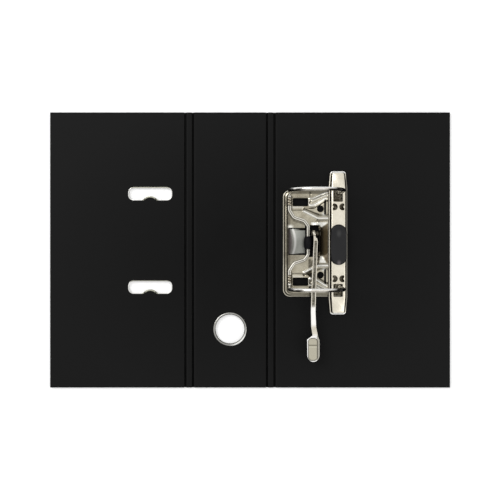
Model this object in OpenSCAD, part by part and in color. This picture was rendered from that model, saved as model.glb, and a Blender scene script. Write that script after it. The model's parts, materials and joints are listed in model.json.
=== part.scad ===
// Lever arch file, open and lying flat with its inside upward.
// X runs across the covers, with the front cover at -X and the rear cover at +X.
// Y runs along the spine and Z is up. The origin is the middle of the spine's outer face.
// Four folds close the file, and the front cover then lies over the arches.

/* [Covers] */
// Height of the covers, along the spine
cover_h = 236; // [220:1:330]
// Width of the front cover, from its fold to its free edge
front_w = 116; // [100:0.5:290]
// Width of the rear cover, from its fold to its free edge
rear_w = 150.5; // [110:0.5:290]
// Width of the spine, between its folds
spine_w = 63.5; // [60:0.5:80]
// Width of each hinge strip, from fold to fold
hinge_w = 6.5; // [5:0.5:9]
// Thickness of the board
board_t = 2; // [1.6:0.1:2.6]
// Thickness of the outer covering
covering_t = 0.3; // [0.2:0.05:0.5]
// Thickness of the inner lining
lining_t = 0.3; // [0.2:0.05:0.5]
// Radius of the rounded fold in the covering
fold_r = 0.6; // [0.5:0.05:0.8]

/* [Finger ring] */
// Radius of the finger hole
ring_bore_r = 12.4; // [9:0.1:14]
// Width of the ring's rolled flange, around the hole
ring_flange_w = 2.15; // [1.6:0.05:3]
// Distance from the file's mid-height down to the ring
ring_drop = 67.8; // [45:0.1:80]
// Thickness of the ring's wall and washer
ring_t = 0.7; // [0.5:0.05:0.9]

/* [Slots] */
// Length of each slot's opening
slot_l = 36.3; // [30:0.1:40]
// Height of each slot's opening
slot_h = 10; // [9:0.1:12]
// Radius of the opening's corners
slot_corner_r = 4; // [2:0.1:4.4]
// Width of the metal rim around a slot
slot_rim_w = 1.2; // [0.8:0.1:2]
// Thickness of the rim
slot_rim_t = 0.5; // [0.4:0.05:0.8]
// Width of the tongue that reaches into the slot
tongue_w = 12; // [8:0.1:14]
// Height of the tongue
tongue_h = 3; // [1:0.1:3.1]
// Distance from the arches' middle to the slots' middle, when closed
slot_shift = 2.1; // [0:0.1:4]

/* [Arches and posts] */
// Gap from the rear fold to the base plate
plate_inset = 7.25; // [6:0.25:14]
// Height of the arches' middle above the file's mid-height
mech_rise = 8.2; // [0:0.1:12]
// Spacing of the two arches, and of the holes in the sheets
arch_spacing = 80; // [79:0.5:81]
// Diameter of the arch wire
wire_d = 3; // [2.6:0.1:3.2]
// Diameter of the fixed posts
post_d = 3.6; // [3.2:0.1:4]
// Distance from the arches' hinge across to the posts
arch_reach = 41.7; // [41:0.1:44]
// Radius of the arches' shoulders
shoulder_r = 19.5; // [14:0.5:19.5]
// How far the arches stand into the slots when closed
arch_proud = 1.2; // [0.4:0.1:2]
// Distance from the arches' hinge to the crank
crank_throw = 16; // [15.8:0.1:16.2]

/* [Base plate] */
// Thickness of the plate's sheet
sheet_t = 0.8; // [0.6:0.05:1]
// Height of the plate's deck above the cover
deck_h = 4.2; // [3.6:0.1:5]
// Length of the plate
plate_l = 91.3; // [90:0.1:96]
// Width of the plate
plate_w = 52.9; // [50.6:0.1:56]

/* [Roller and lever] */
// Radius of the roller at its middle
roller_r = 3.9; // [3.6:0.1:4]
// Length of the roller
roller_l = 10.8; // [8:0.1:10.8]
// Distance from the lever's pivot to the end of its handle
lever_l = 108.3; // [100:0.1:112]
// Width of the lever's channel
lever_w = 4.6; // [4:0.1:5]
// Height of the lever's channel
lever_h = 4; // [3:0.1:4.6]
// Width of the handle
handle_w = 11.2; // [9:0.1:13]
// Length of the handle
handle_l = 22; // [18:0.5:26]
// Radius of the lever's rivet
rivet_r = 1.6; // [1.2:0.05:1.8]

/* [Compressor bar] */
// Length of the bar
bar_l = 122.4; // [112:0.2:130]
// Width of the bar
bar_w = 16.4; // [15.6:0.1:16.6]
// Height of the bar
bar_h = 4.6; // [4:0.1:6]
// Length of the grip
grip_l = 34.5; // [24:0.5:44]
// Width of the grip
grip_w = 13; // [9:0.1:13]
// Height of the grip
grip_h = 3; // [2:0.1:4]

/* [Fits] */
// Radial clearance of what turns on a wire or a rivet
run_gap = 0.06; // [0.03:0.01:0.1]
// Gap between pieces that pass each other
pass_gap = 0.3; // [0.2:0.05:0.5]
// Further gap between the lever and the roller it presses on
lever_rise = 0.25; // [0.2:0.05:0.4]

/* [Hidden] */
$fn = 64;
cut = 1;
seam_lap = 0.05;
seam_step = 0.01;

// The cover: each fold's axis lies in the covering's rounded fold, and the gap between two
// boards leaves room for them to turn half of a right angle towards each other.
cover_t = covering_t + board_t + lining_t;
fold_turn = 45;
fold_gap = (cover_t - fold_r) * tan(fold_turn / 2) + 0.08;
spine_fold = spine_w / 2;
cover_fold = spine_fold + hinge_w;
closed_h = 2 * fold_r + spine_w + 2 * hinge_w * sin(fold_turn) - cover_t;
ring_r = ring_bore_r + ring_flange_w;

// The mechanism has its own frame: u across from the base plate's edge, v up from the arches'
// middle, w up from the lining.
plate_x = cover_fold + plate_inset;
wire_r = wire_d / 2;
post_r = post_d / 2;
arch_v = arch_spacing / 2;
hinge_u = 5.3;
hinge_at = deck_h + pass_gap + wire_r;
post_u = hinge_u + arch_reach;
leg_u = hinge_u - 2.4;
arch_mid_u = (leg_u + post_u) / 2;
arch_top = closed_h + arch_proud - cover_t - wire_r;
tip_straight = 1.5;
tip_gap = 0.25;
post_top = arch_top - shoulder_r - tip_straight;
post_taper = 1.2;
post_foot_r = post_r - 0.3;
post_seat = sheet_t + 1.5;
crank_u = hinge_u + crank_throw;
slot_x = -(plate_x + arch_mid_u - slot_shift);

// The arch wire's corners, from the tip of the upper arch to the middle of the crank.
half_wire = [
    [post_u, arch_v, post_top],
    [post_u, arch_v, arch_top],
    [leg_u, arch_v, arch_top],
    [hinge_u, arch_v, hinge_at],
    [hinge_u, arch_v - 14.4, hinge_at],
    [hinge_u + 3.8, arch_v - 20.4, hinge_at],
    [crank_u - 3.2, arch_v - 23.4, hinge_at],
    [crank_u, arch_v - 27.9, hinge_at]
];
half_bends = [shoulder_r, shoulder_r, 3, 5, 4, 4, 4];

// Base plate
plate_low = -plate_l / 2 - 2.45;
plate_high = plate_l / 2 - 2.45;
plate_corner = 6;
plate_foot = 2.3;
plate_end_foot = 1;
deck_right = 38;
feature_v = -1.3;
loop_v = 33;
loop_l = 6;
loop_r = wire_r + run_gap + 0.6;
mount_u = 31.85;
mount_v = 28.3;
mount_head_r = 2.85;
mount_cup_r = mount_head_r + 0.1;
mount_shank_r = 1.7;
mount_back_r = 4.5;
bracket_left = 29.9;
bracket_low = -18.2;
bracket_high = 17.3;
bracket_run = 7;
loop_window = [12.3, 6];
loop_window_at = [14.75, 33.6];
slit = [1, 12];
slit_at = [35.69, 29.5];
notch = [0.8, 3.8];
notch_at = [22.9, 39.1];

// Roller and lever. The lever's lower edge lies just over the roller's flank.
roller_v = -2;
roller_crown = 0.9;
lever_u = 27;
pivot_v = 5.6;
flank = crank_u - (lever_u - lever_w / 2);
lever_low = hinge_at + sqrt(max(0, roller_r * roller_r - flank * flank)) + pass_gap + lever_rise;
pivot_w = lever_low + 2.1;
rivet_head_r = rivet_r + 0.8;
bracket_h = pivot_w + rivet_head_r + pass_gap + sheet_t;
bracket_slope = bracket_run / (bracket_h - deck_h);
knuckle_r = 2.9;
knuckle_left = lever_u - 2.6;
knuckle_right = lever_u + 0.9;
channel_wall = 1;
channel_end = lever_l - 46.3;
handle_shift = -1.7;
handle_t = 2.6;

// Leaf spring, seen from the side: its eye, its crest and its flat end
leaf_low_v = -11.7;
leaf_high_v = 9.9;
leaf_t = 0.45;
leaf_eye_r = 0.8;
leaf_eye = [hinge_u - 0.4, leaf_eye_r + pass_gap];
leaf_crest = [hinge_u + 4.4, deck_h - 0.8];
leaf_under = 2.4;
leaf_end = [crank_u - leaf_under,
    hinge_at - sqrt(roller_r * roller_r - leaf_under * leaf_under) - pass_gap];

// Compressor bar
bar_u = 46.7;
bar_v = -2.1;
bar_low = sheet_t + pass_gap;
bar_hole_v = 40.5;
bar_hole = [8.1, 11];
bar_moon_v = 30.6;
bar_lip = 0.6;
bar_slope = 1.6;
peg_r = 1.5;
peg_v = 10;
grip_v = -1.6;

function unit(a) = a / norm(a);

// A round bar from p to q.
module rod(p, q, r) {
    d = q - p;
    translate(p)
        rotate([0, acos(d.z / norm(d)), atan2(d.y, d.x)])
            cylinder(h = norm(d), r = r);
}

// How far a wire turns at corner b, and how far before the corner its bend starts.
function turn_at(a, b, c) = acos(unit(b - a) * unit(c - b));
function setback(a, b, c, bend) = bend * tan(turn_at(a, b, c) / 2);

// The bend at corner b, tangent to both of its straight lengths. The straight lengths reach a
// little way into it and are a hair slimmer, so that no two of their surfaces coincide.
module elbow(a, b, c, bend, r) {
    along = unit(b - a);
    inward = unit(unit(c - b) - (unit(c - b) * along) * along);
    centre = b - setback(a, b, c, bend) * along + bend * inward;
    up = cross(along, inward);
    multmatrix([
        [-inward.x, along.x, up.x, centre.x],
        [-inward.y, along.y, up.y, centre.y],
        [-inward.z, along.z, up.z, centre.z],
        [0, 0, 0, 1]
    ])
        rotate_extrude(angle = turn_at(a, b, c))
            translate([bend, 0]) circle(r = r);
}

// A wire through its corners, with a bend radius for each inner one.
module bent_wire(corners, bends, r) {
    last = len(corners) - 1;
    function back(i) = i == 0 || i == last ? 0
        : setback(corners[i - 1], corners[i], corners[i + 1], bends[i - 1]);
    for (i = [0 : last - 1]) {
        along = unit(corners[i + 1] - corners[i]);
        rod(corners[i] + (back(i) - (i == 0 ? 0 : seam_lap)) * along,
            corners[i + 1] - (back(i + 1) - (i == last - 1 ? 0 : seam_lap)) * along,
            r - seam_step);
    }
    for (i = [1 : last - 1])
        elbow(corners[i - 1], corners[i], corners[i + 1], bends[i - 1], r);
}

// A rectangle with round corners, from low to high.
module rounded(low, high, r) {
    translate([low.x + r, low.y]) square([high.x - low.x - 2 * r, high.y - low.y]);
    translate([low.x, low.y + r]) square([high.x - low.x, high.y - low.y - 2 * r]);
    for (x = [low.x + r, high.x - r], y = [low.y + r, high.y - r])
        translate([x, y]) circle(r = r);
}

// The mechanism's frame.
module on_cover() {
    translate([plate_x, mech_rise, cover_t]) children();
}

// Solids along u: a round one, and a profile drawn in v and w.
module across_u(u, v, w, l, r) {
    translate([u, v, w]) rotate([0, 90, 0]) cylinder(h = l, r = r);
}
module along_v(u, v, w, l, r) {
    translate([u, v, w]) rotate([-90, 0, 0]) cylinder(h = l, r = r);
}
module profile_along_v(v0, v1) {
    translate([0, v1, 0]) rotate([90, 0, 0]) linear_extrude(v1 - v0) children();
}
module profile_along_u(u0, u1) {
    translate([u0, 0, 0]) rotate([90, 0, 90]) linear_extrude(u1 - u0) children();
}

// One board between x0 and x1. A side is at a fold, or is a free edge inside the covering.
module board_panel(x0, x1, fold0, fold1) {
    from = x0 + (fold0 ? fold_gap : covering_t);
    to = x1 - (fold1 ? fold_gap : covering_t);
    translate([from, -cover_h / 2 + covering_t, covering_t])
        cube([to - from, cover_h - 2 * covering_t, board_t]);
}

// The covering under a board and up its free edges. At a fold it ends round the rounded fold.
module covering_panel(x0, x1, fold0, fold1) {
    from = x0 + (fold0 ? fold_gap : 0);
    to = x1 - (fold1 ? fold_gap : 0);
    difference() {
        union() {
            translate([x0, -cover_h / 2, 0]) cube([x1 - x0, cover_h, covering_t]);
            translate([from, -cover_h / 2, 0]) cube([to - from, cover_h, covering_t + board_t]);
        }
        board_panel(x0, x1, fold0, fold1);
        translate([fold0 ? x0 - cut : x0 + covering_t, -cover_h / 2 + covering_t, covering_t])
            cube([x1 - x0 + (fold0 ? cut : -covering_t) + (fold1 ? cut : -covering_t),
                cover_h - 2 * covering_t, board_t + cut]);
        for (fold = [[x0, fold0], [x1, fold1]])
            if (fold[1])
                translate([fold[0], -cover_h / 2 - cut, fold_r]) rotate([-90, 0, 0])
                    cylinder(h = cover_h + 2 * cut, r = fold_r + run_gap);
    }
}

module lining_panel(x0, x1, fold0, fold1) {
    from = x0 + (fold0 ? fold_gap : 0);
    to = x1 - (fold1 ? fold_gap : 0);
    translate([from, -cover_h / 2, cover_t - lining_t]) cube([to - from, cover_h, lining_t]);
}

// A hinge strip's covering carries the rounded folds at its two sides.
module strip_covering(x0) {
    translate([x0, -cover_h / 2, 0]) cube([hinge_w, cover_h, covering_t]);
    for (y = [-cover_h / 2, cover_h / 2 - covering_t])
        translate([x0 + fold_gap, y, 0])
            cube([hinge_w - 2 * fold_gap, covering_t, covering_t + board_t]);
    for (x = [x0, x0 + hinge_w])
        translate([x, -cover_h / 2, fold_r]) rotate([-90, 0, 0])
            cylinder(h = cover_h, r = fold_r);
}

// Holes through the rear cover for the rivets: wide enough for the back head, then the shank.
module at_mounts() {
    for (side = [-1, 1])
        translate([plate_x + mount_u, mech_rise + feature_v + side * mount_v, 0]) children();
}
module mount_holes() {
    at_mounts() {
        translate([0, 0, -cut]) cylinder(h = cover_t + 2 * cut, r = mount_shank_r);
        translate([0, 0, -cut]) cylinder(h = sheet_t + cut, r = mount_back_r);
    }
}

// Holes through the spine for the finger ring and its washer.
module ring_hole() {
    translate([0, -ring_drop, -cut]) {
        cylinder(h = cover_t + 2 * cut, r = ring_bore_r + ring_t);
        cylinder(h = ring_t + cut, r = ring_r);
    }
}

// A slot's outline, grown all round: a rounded opening with the tongue's arc cut into its
// lower edge.
module slot_outline(grow) {
    arc_r = (tongue_w * tongue_w / 4 + tongue_h * tongue_h) / (2 * tongue_h);
    difference() {
        rounded([-slot_l / 2 - grow, -slot_h / 2 - grow], [slot_l / 2 + grow, slot_h / 2 + grow],
            slot_corner_r + grow);
        translate([0, -slot_h / 2 + tongue_h - arc_r]) circle(r = arc_r - grow);
    }
}
module at_slot(side) {
    translate([slot_x, mech_rise + side * arch_v, 0]) children();
}
module slot_holes() {
    for (side = [-1, 1])
        at_slot(side) {
            translate([0, 0, -cut]) linear_extrude(cover_t + 2 * cut)
                slot_outline(slot_rim_t);
            translate([0, 0, -cut]) linear_extrude(slot_rim_t + cut)
                slot_outline(slot_rim_w);
        }
}
module slot_eyelet(side) {
    color("gainsboro")
        at_slot(side)
            difference() {
                union() {
                    linear_extrude(slot_rim_t) slot_outline(slot_rim_w);
                    linear_extrude(cover_t) slot_outline(slot_rim_t);
                    translate([0, 0, cover_t]) linear_extrude(slot_rim_t)
                        slot_outline(slot_rim_w);
                }
                translate([0, 0, -cut]) linear_extrude(cover_t + slot_rim_t + 2 * cut)
                    slot_outline(0);
            }
}

module rear_board() {
    color("dimgray")
        difference() {
            board_panel(cover_fold, cover_fold + rear_w, true, false);
            mount_holes();
        }
}
module rear_covering() {
    color("black")
        difference() {
            covering_panel(cover_fold, cover_fold + rear_w, true, false);
            mount_holes();
        }
}
module rear_lining() {
    color("black")
        difference() {
            lining_panel(cover_fold, cover_fold + rear_w, true, false);
            mount_holes();
        }
}
module rear_hinge_board() {
    color("dimgray") board_panel(spine_fold, cover_fold, true, true);
}
module rear_hinge_covering() {
    color("black") strip_covering(spine_fold);
}
module rear_hinge_lining() {
    color("black") lining_panel(spine_fold, cover_fold, true, true);
}
module spine_board() {
    color("dimgray")
        difference() {
            board_panel(-spine_fold, spine_fold, true, true);
            ring_hole();
        }
}
module spine_covering() {
    color("black")
        difference() {
            covering_panel(-spine_fold, spine_fold, true, true);
            ring_hole();
        }
}
module spine_lining() {
    color("black")
        difference() {
            lining_panel(-spine_fold, spine_fold, true, true);
            ring_hole();
        }
}
module front_hinge_board() {
    color("dimgray") board_panel(-cover_fold, -spine_fold, true, true);
}
module front_hinge_covering() {
    color("black") strip_covering(-cover_fold);
}
module front_hinge_lining() {
    color("black") lining_panel(-cover_fold, -spine_fold, true, true);
}
module front_board() {
    color("dimgray")
        difference() {
            board_panel(-cover_fold - front_w, -cover_fold, false, true);
            slot_holes();
        }
}
module front_covering() {
    color("black")
        difference() {
            covering_panel(-cover_fold - front_w, -cover_fold, false, true);
            slot_holes();
        }
}
module front_lining() {
    color("black")
        difference() {
            lining_panel(-cover_fold - front_w, -cover_fold, false, true);
            slot_holes();
        }
}

// A drawn tube with a rolled inner lip. Its washer is let into the spine's outer face.
module finger_ring() {
    lip_r = ring_flange_w / 2;
    color("silver")
        translate([0, -ring_drop, 0])
            rotate_extrude() {
                translate([ring_bore_r, 0]) square([ring_t, cover_t]);
                translate([ring_bore_r + lip_r, cover_t])
                    intersection() {
                        circle(r = lip_r);
                        translate([-lip_r, 0]) square([2 * lip_r, lip_r]);
                    }
            }
}
module finger_ring_washer() {
    color("silver")
        translate([0, -ring_drop, 0])
            difference() {
                cylinder(h = ring_t, r = ring_r);
                translate([0, 0, -cut]) cylinder(h = ring_t + 2 * cut, r = ring_bore_r + ring_t);
            }
}

// The bracket's side view, drawn inside its sheet by inset.
module bracket_profile(inset) {
    side = inset * norm([bracket_slope, 1]);
    low = deck_h - sheet_t;
    back = bracket_slope * sheet_t;
    polygon([
        [bracket_low + side - back, low],
        [bracket_low + side + bracket_run - bracket_slope * inset, bracket_h - inset],
        [bracket_high - side - bracket_run + bracket_slope * inset, bracket_h - inset],
        [bracket_high - side + back, low]
    ]);
}

// Stamped sheet, nickel plated: a foot on the cover, a raised deck with pressed beads, two
// loops that hold the arch wire, and a bracket for the lever.
module base_plate() {
    color("antiquewhite")
        on_cover()
            difference() {
                union() {
                    linear_extrude(sheet_t)
                        rounded([0, plate_low], [plate_w, plate_high], plate_corner);
                    linear_extrude(deck_h)
                        rounded([plate_foot, plate_low + plate_end_foot],
                            [deck_right, plate_high - plate_end_foot], plate_corner - 1);
                    profile_along_u(bracket_left, deck_right) bracket_profile(0);
                    plate_beads();
                    wire_loops();
                    for (side = [-1, 1])
                        translate([post_u, side * arch_v, 0])
                            cylinder(h = post_seat, r = post_r + 1.4);
                }
                difference() {
                    union() {
                        translate([0, 0, -cut])
                            linear_extrude(deck_h - sheet_t + cut)
                                rounded([plate_foot + sheet_t, plate_low + plate_end_foot + sheet_t],
                                    [deck_right - sheet_t, plate_high - plate_end_foot - sheet_t],
                                    plate_corner - 2);
                        profile_along_u(bracket_left + sheet_t, deck_right - sheet_t)
                            bracket_profile(sheet_t);
                    }
                    mount_cups(mount_cup_r + sheet_t, -cut);
                }
                mount_cups(mount_cup_r, sheet_t);
                mount_cups(mount_shank_r, -cut);
                plate_cuts();
                rod([hinge_u, plate_low, hinge_at], [hinge_u, plate_high, hinge_at],
                    wire_r + run_gap);
                across_u(bracket_left - cut, pivot_v, pivot_w, sheet_t + 2 * cut, rivet_r);
                for (side = [-1, 1])
                    translate([post_u, side * arch_v, -cut])
                        cylinder(h = deck_h + 2 * cut, r = post_foot_r);
            }
}

// Cups pressed down to the cover, where the rivets hold the plate.
module mount_cups(r, low) {
    for (side = [-1, 1])
        translate([mount_u, feature_v + side * mount_v, low])
            cylinder(h = deck_h + cut - low, r = r);
}

// Half-round loops over the wire, each with three ribs.
module loop_profile(r) {
    translate([hinge_u, hinge_at]) circle(r = r);
    translate([hinge_u - r, deck_h - sheet_t / 2]) square([2 * r, hinge_at - deck_h + sheet_t / 2]);
}
module wire_loops() {
    for (side = [-1, 1])
        translate([0, side * loop_v + loop_l / 2, 0])
            rotate([90, 0, 0]) {
                linear_extrude(loop_l) loop_profile(loop_r);
                for (rib = [-1 : 1])
                    translate([0, 0, loop_l / 2 + 2 * rib - 0.4])
                        linear_extrude(0.8) loop_profile(loop_r + 0.25);
            }
}

// Stiffening beads that stand a little proud of the deck.
module bead_plan(p, q, r) {
    side = r * unit([p.y - q.y, q.x - p.x]);
    polygon([p + side, q + side, q - side, p - side]);
    for (end = [p, q]) translate(end) circle(r = r);
}
module plate_beads() {
    rise = 0.5;
    r = 1.2;
    translate([0, 0, deck_h - sheet_t / 2])
        linear_extrude(sheet_t / 2 + rise)
            for (side = [-1, 1])
                translate([0, feature_v])
                    for (bead = [
                        [[17, 26.2], [29, 20.2]],
                        [[29, 20.2], [35.8, 20.2]],
                        [[24, 36.2], [35.8, 41]],
                        [[23.4, 31.6], [25.6, 32.5]]
                    ])
                        bead_plan([bead[0].x, side * bead[0].y], [bead[1].x, side * bead[1].y], r);
}

// Windows and slits through the deck: for the leaf spring, the roller and the lever's head, the
// two windows beside the loops, and the slits beside the rivets.
module window(at, size, r) {
    translate(at) rounded(-size / 2, size / 2, r);
}
module plate_cuts() {
    room = 0.8;
    translate([0, 0, -cut])
        linear_extrude(deck_h + 2 * cut) {
            rounded([leaf_eye.x - leaf_eye_r + 0.2, leaf_low_v - room],
                [crank_u, leaf_high_v + room], 0.6);
            rounded([leaf_end.x - 0.4, roller_v - roller_l / 2 - 6.8],
                [bracket_left, pivot_v + knuckle_r + 4.6], 0.8);
            for (side = [-1, 1])
                translate([0, feature_v]) {
                    window([loop_window_at.x, side * loop_window_at.y], loop_window, 0.8);
                    window([slit_at.x, side * slit_at.y], slit, 0.45);
                }
            window(notch_at, notch, 0.35);
        }
}

// A post stands on its collar and is riveted through the plate by its foot.
module post(side) {
    top = post_top - tip_gap;
    color("lightgray")
        on_cover()
            translate([post_u, side * arch_v, 0]) {
                cylinder(h = post_seat, r = post_foot_r);
                translate([0, 0, post_seat])
                    cylinder(h = top - post_taper - post_seat, r = post_r);
                translate([0, 0, top - post_taper])
                    cylinder(h = post_taper, r1 = post_r, r2 = post_r - 0.5);
            }
}
module post_upper() { post(1); }
module post_lower() { post(-1); }

// Tubular rivets through the plate and the cover.
module mounting_rivets() {
    color("black")
        at_mounts() {
            cylinder(h = sheet_t, r = mount_back_r);
            cylinder(h = cover_t + sheet_t, r = mount_shank_r);
            translate([0, 0, cover_t + sheet_t]) cylinder(h = 1, r = mount_head_r);
        }
}

// The lever turns on this rivet. Its collar keeps the lever off the bracket.
module lever_rivet() {
    collar = knuckle_right + 0.1;
    head_t = 0.6;
    color("silver")
        on_cover() {
            across_u(knuckle_left - 0.1 - head_t, pivot_v, pivot_w, head_t, rivet_r + 0.6);
            across_u(knuckle_left - 0.1, pivot_v, pivot_w,
                bracket_left + sheet_t - knuckle_left + 0.1, rivet_r);
            across_u(collar, pivot_v, pivot_w, bracket_left - collar, rivet_r + 0.5);
            across_u(bracket_left + sheet_t, pivot_v, pivot_w, head_t, rivet_head_r);
        }
}

// Both arches, their hinge runs and the crank between them are one bent wire.
module arch_wire() {
    last = len(half_wire) - 1;
    other = [for (i = [last : -1 : 0]) [half_wire[i].x, -half_wire[i].y, half_wire[i].z]];
    other_bends = [for (i = [len(half_bends) - 1 : -1 : 0]) half_bends[i]];
    color("gainsboro")
        on_cover()
            bent_wire(concat(half_wire, other), concat(half_bends, other_bends), wire_r);
}

// A barrel that turns on the crank.
module crank_roller() {
    steps = 8;
    color("black")
        on_cover()
            translate([crank_u, roller_v, hinge_at])
                rotate([90, 0, 0])
                    rotate_extrude()
                        polygon(concat(
                            [[wire_r + run_gap, roller_l / 2], [wire_r + run_gap, -roller_l / 2]],
                            [for (i = [-steps : steps])
                                [roller_r - roller_crown * pow(i / steps, 2),
                                    i / steps * roller_l / 2]]
                        ));
}

// The lever's plan, as the middle of its width at distances from the pivot.
function lever_line() = [
    [0, 0], [0, 6], [-0.9, 44], [-1.5, lever_l - 42.3], [-1.1, lever_l - 29.3],
    [0.1, lever_l - handle_l]
];
module lever_plan(inset, from, to) {
    line = lever_line();
    intersection() {
        polygon(concat(
            [for (p = line) [p[0] - lever_w / 2 + inset, -p[1]]],
            [for (i = [len(line) - 1 : -1 : 0]) [line[i][0] + lever_w / 2 - inset, -line[i][1]]]
        ));
        translate([-handle_w, -to]) square([2 * handle_w, to - from]);
    }
}
module handle_plan(inset) {
    half = handle_w / 2 - inset;
    round_at = -lever_l + handle_w / 2;
    top = -lever_l + handle_l;
    translate([handle_shift, 0]) {
        translate([0, round_at]) circle(r = half);
        polygon([
            [-half, round_at], [half, round_at], [half, top - 4 - inset], [half - 1.6, top - inset],
            [half - 6.4, top - inset], [-half, top - 3.2 - inset]
        ]);
    }
}

// Stamped channel with a knuckle at its pivot and a flat handle.
module lever() {
    color("antiquewhite")
        on_cover()
            difference() {
                union() {
                    translate([lever_u, pivot_v, lever_low])
                        linear_extrude(lever_h) lever_plan(0, 0, lever_l - handle_l);
                    translate([lever_u, pivot_v, lever_low + lever_h - handle_t - 0.2])
                        linear_extrude(handle_t) handle_plan(0);
                    across_u(knuckle_left, pivot_v, pivot_w, knuckle_right - knuckle_left,
                        knuckle_r);
                }
                translate([lever_u, pivot_v, lever_low + channel_wall])
                    linear_extrude(lever_h) lever_plan(channel_wall, 6, channel_end);
                translate([lever_u, pivot_v, lever_low + lever_h - 0.8])
                    linear_extrude(1) handle_plan(1.2);
                translate([knuckle_right, pivot_v - 3.6, lever_low - cut])
                    cube([lever_w, 3.6 + cut, lever_h + 2 * cut]);
                across_u(knuckle_left - cut, pivot_v, pivot_w, lever_w + 2 * cut,
                    rivet_r + run_gap);
            }
}

// Spring steel tongue: a rolled eye, a slope up to its crest, and a flat end under the roller.
module leaf_spring() {
    color("gray")
        on_cover() {
            along_v(leaf_eye.x, leaf_low_v, leaf_eye.y, leaf_high_v - leaf_low_v, leaf_eye_r);
            profile_along_v(leaf_low_v, leaf_high_v)
                polygon([
                    leaf_eye, leaf_eye + [0, leaf_t], leaf_crest, leaf_end,
                    leaf_end - [0, leaf_t], leaf_crest - [0, leaf_t]
                ]);
        }
}

// The bar's plan, drawn in by inset: parallel sides, and tapered ends with round corners.
module bar_plan(inset) {
    corner = 2.6 - inset / 2;
    side = bar_w / 2 - inset - corner;
    end = bar_l / 2 - inset - corner;
    hull()
        for (x = [-1, 1], y = [-1, 1]) {
            translate([x * side, y * (end - 15)]) circle(r = corner, $fn = 24);
            translate([x * (side - 1.3), y * end]) circle(r = corner, $fn = 24);
        }
}
module bar_form(inset, h) {
    hull() {
        linear_extrude(0.1) bar_plan(bar_lip + inset);
        translate([0, 0, h - 0.1]) linear_extrude(0.1) bar_plan(bar_lip + bar_slope + inset);
    }
}

// A crescent, whose horns point away from the bar's middle.
module moon() {
    difference() {
        intersection() {
            circle(r = 2.95);
            translate([-1.4, -3]) square([6, 6]);
        }
        translate([-1.7, 0]) circle(r = 1.3);
    }
}

// Pressed channel that lies over the posts and slides up them.
module compressor_bar() {
    color("antiquewhite")
        on_cover()
            translate([bar_u, bar_v, bar_low])
                difference() {
                    union() {
                        bar_form(0, bar_h);
                        linear_extrude(bar_lip) bar_plan(0);
                    }
                    translate([0, 0, -sheet_t]) bar_form(sheet_t, bar_h);
                    translate([0, 0, -cut])
                        linear_extrude(bar_h + 2 * cut) {
                            for (side = [-1, 1]) {
                                translate([0, side * bar_hole_v])
                                    rounded(-bar_hole / 2, bar_hole / 2, 0.8);
                                for (turn = [0, 180])
                                    translate([0, side * bar_moon_v])
                                        rotate(turn) translate([-3.6, 0]) moon();
                            }
                        }
                    for (side = [-1, 1])
                        translate([0, grip_v + side * peg_v, -cut])
                            cylinder(h = bar_h + 2 * cut, r = peg_r);
                }
}

// Moulded grip, dished for the fingers, on two pegs through the bar.
module grip_slice(inset, low, h) {
    translate([0, 0, low])
        linear_extrude(h)
            hull()
                for (side = [-1, 1])
                    translate([0, side * (grip_l - grip_w) / 2])
                        circle(r = grip_w / 2 - inset, $fn = 32);
}
module bar_grip() {
    dish_r = 75;
    dish_depth = 0.8;
    bevel = 1.1;
    color("dimgray")
        on_cover()
            translate([bar_u, bar_v + grip_v, bar_low + bar_h]) {
                difference() {
                    hull() {
                        grip_slice(0, 0, grip_h - bevel);
                        grip_slice(bevel / 3, grip_h - bevel, bevel / 2);
                        grip_slice(bevel, grip_h - bevel / 2, bevel / 2);
                    }
                    across_u(-grip_w, 0, grip_h - dish_depth + dish_r, 2 * grip_w, dish_r, $fn = 360);
                }
                for (side = [-1, 1])
                    translate([0, side * peg_v, -sheet_t - 0.6])
                        cylinder(h = sheet_t + 0.7, r = peg_r);
            }
}

rear_board();
rear_covering();
rear_lining();
rear_hinge_board();
rear_hinge_covering();
rear_hinge_lining();
spine_board();
spine_covering();
spine_lining();
finger_ring();
finger_ring_washer();
front_hinge_board();
front_hinge_covering();
front_hinge_lining();
front_board();
front_covering();
front_lining();
slot_eyelet(1);  // slot_eyelet_upper
slot_eyelet(-1);  // slot_eyelet_lower
base_plate();
post_upper();
post_lower();
mounting_rivets();
lever_rivet();
arch_wire();
crank_roller();
lever();
leaf_spring();
compressor_bar();
bar_grip();
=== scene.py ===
# A lever arch file, lying open with its inside upward.
import json
from math import cos, pi, radians, sin, tan

import bmesh
import bpy
import numpy as np
from mathutils import Matrix, Vector

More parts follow.
